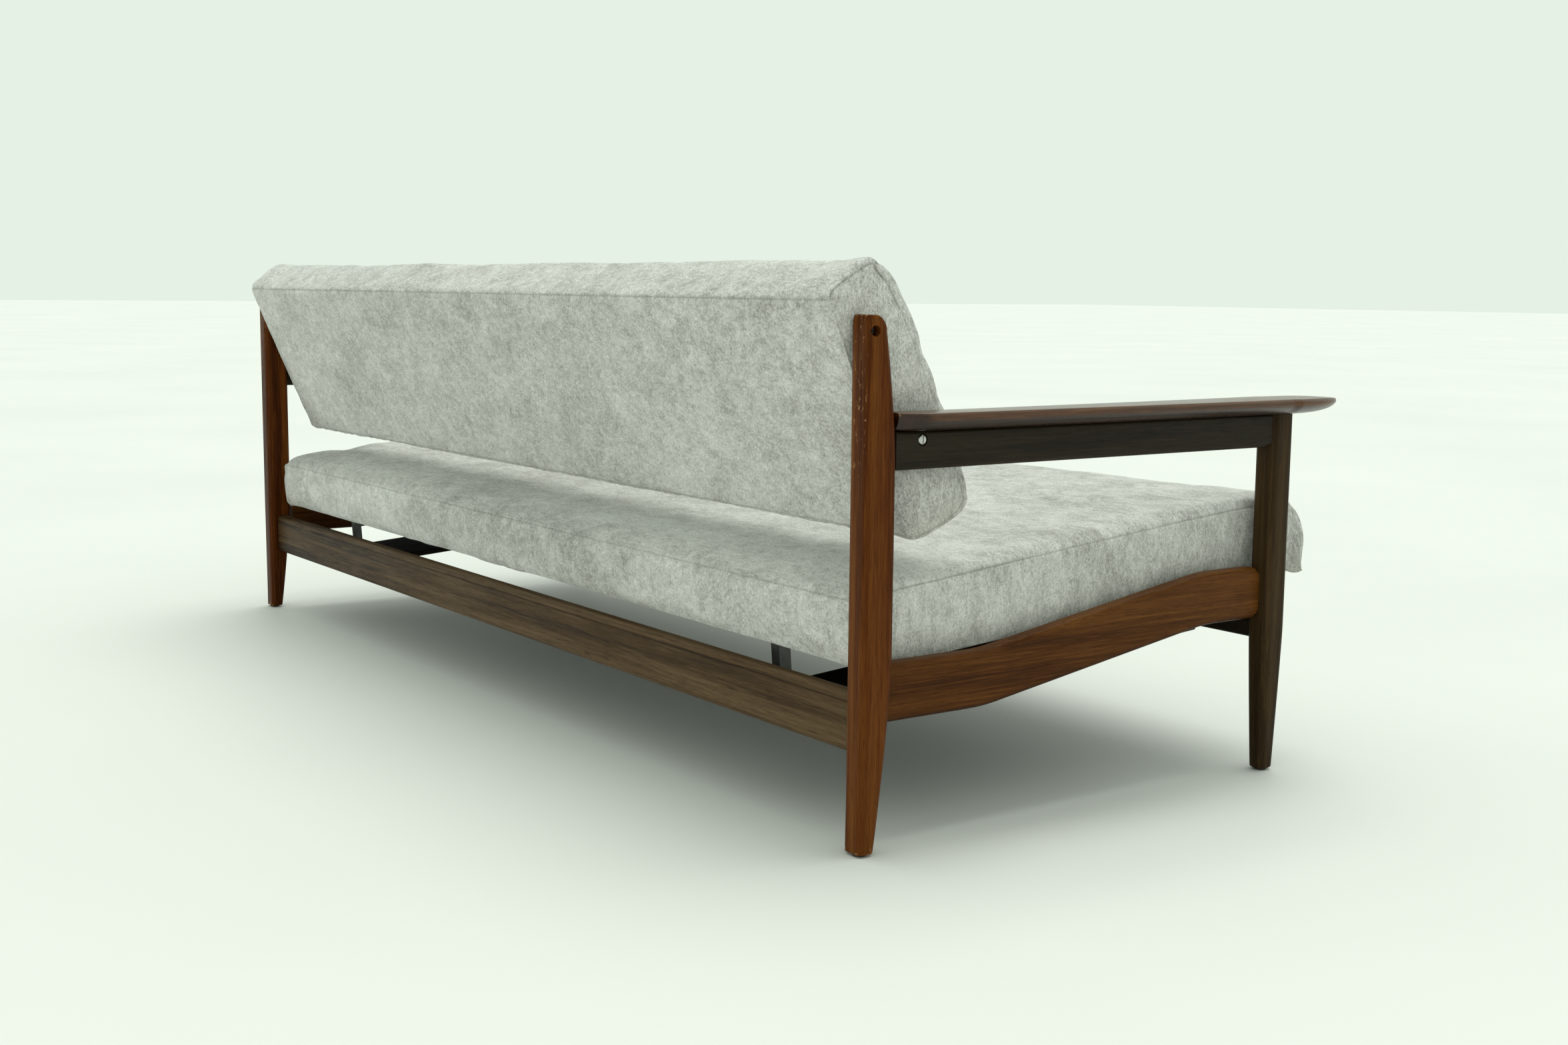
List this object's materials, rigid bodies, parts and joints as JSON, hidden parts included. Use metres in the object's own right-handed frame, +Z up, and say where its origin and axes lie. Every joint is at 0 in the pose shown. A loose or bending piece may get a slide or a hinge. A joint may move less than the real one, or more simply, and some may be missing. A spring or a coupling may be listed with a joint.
{
  "type": "daybed",
  "caption": "A teak daybed with plain wooden arms, a mattress seat that slides out on track boards, and an upholstered back that tilts between its rear posts.",
  "frame": {"origin": "On the floor, under the middle of the overall box.", "axes": "+Z up, the long side along X, the front towards -Y. Left pieces are at -X and right pieces at +X."},
  "size_m": [2.0712, 0.865, 0.6985],
  "materials": {
    "teak": "satin",
    "dark_teak": "satin",
    "upholstery": "matte",
    "bottom_cloth": "matte",
    "inner_beech": "matte",
    "webbing": "matte",
    "dark_steel": "satin",
    "bright_screw": "satin",
    "bush_brass": "satin",
    "runner_nylon": "matte",
    "glide_rubber": "matte"
  },
  "bodies": {
    "frame": {"rear_rail": "teak", "front_rail": "dark_teak", "rear_post_left": "teak", "rear_post_right": "teak", "front_leg_left": "teak", "front_leg_right": "teak", "side_rail_left": "teak", "side_rail_right": "teak", "arm_apron_left": "dark_teak", "arm_apron_right": "dark_teak", "armrest_left": "teak", "armrest_right": "teak", "track_board_left": "dark_teak", "track_board_right": "dark_teak", "board_screw_rear_left": "dark_steel", "board_screw_rear_right": "dark_steel", "board_screw_front_left": "dark_steel", "board_screw_front_right": "dark_steel", "arm_screw_left": "dark_steel", "arm_screw_right": "dark_steel", "stop_peg_left": "bright_screw", "stop_peg_right": "bright_screw", "pivot_bolt_left": "dark_steel", "pivot_bolt_right": "dark_steel", "rear_glide_left": "glide_rubber", "rear_glide_right": "glide_rubber", "front_glide_left": "glide_rubber", "front_glide_right": "glide_rubber"},
    "backrest": {"back_pad": "upholstery", "back_panel": "upholstery", "back_frame_bottom_rail": "inner_beech", "back_frame_top_rail": "inner_beech", "back_frame_middle_stile": "inner_beech", "back_frame_stile_left": "inner_beech", "back_frame_stile_right": "inner_beech", "pivot_bush_left": "bush_brass", "pivot_bush_right": "bush_brass", "stop_stud_left": "dark_steel", "stop_stud_right": "dark_steel"},
    "seat": {"seat_pad": "upholstery", "seat_dust_cover": "bottom_cloth", "seat_frame_rear_rail": "inner_beech", "seat_frame_front_rail": "inner_beech", "seat_frame_middle_rail": "inner_beech", "seat_strap_1": "webbing", "seat_strap_2": "webbing", "seat_strap_3": "webbing", "seat_strap_4": "webbing", "seat_frame_end_rail_left": "inner_beech", "seat_frame_end_rail_right": "inner_beech", "seat_frame_cross_rail_left": "inner_beech", "seat_frame_cross_rail_right": "inner_beech", "runner_angle_1_left": "dark_steel", "runner_angle_1_right": "dark_steel", "runner_angle_2_left": "dark_steel", "runner_angle_2_right": "dark_steel", "runner_pad_1_left": "runner_nylon", "runner_pad_1_right": "runner_nylon", "runner_pad_2_left": "runner_nylon", "runner_pad_2_right": "runner_nylon"}
  },
  "joints": [
    {"name": "backrest_hinge", "type": "hinge", "parent": "frame", "child": "backrest", "pos_m": [0, 0.3886, 0.612], "axis": [-1, 0, 0], "range_deg": [0, 70]},
    {"name": "seat_slide", "type": "slide", "parent": "frame", "child": "seat", "axis": [0, -0.9968, 0.0802], "range_m": [0, 0.15]}
  ]
}
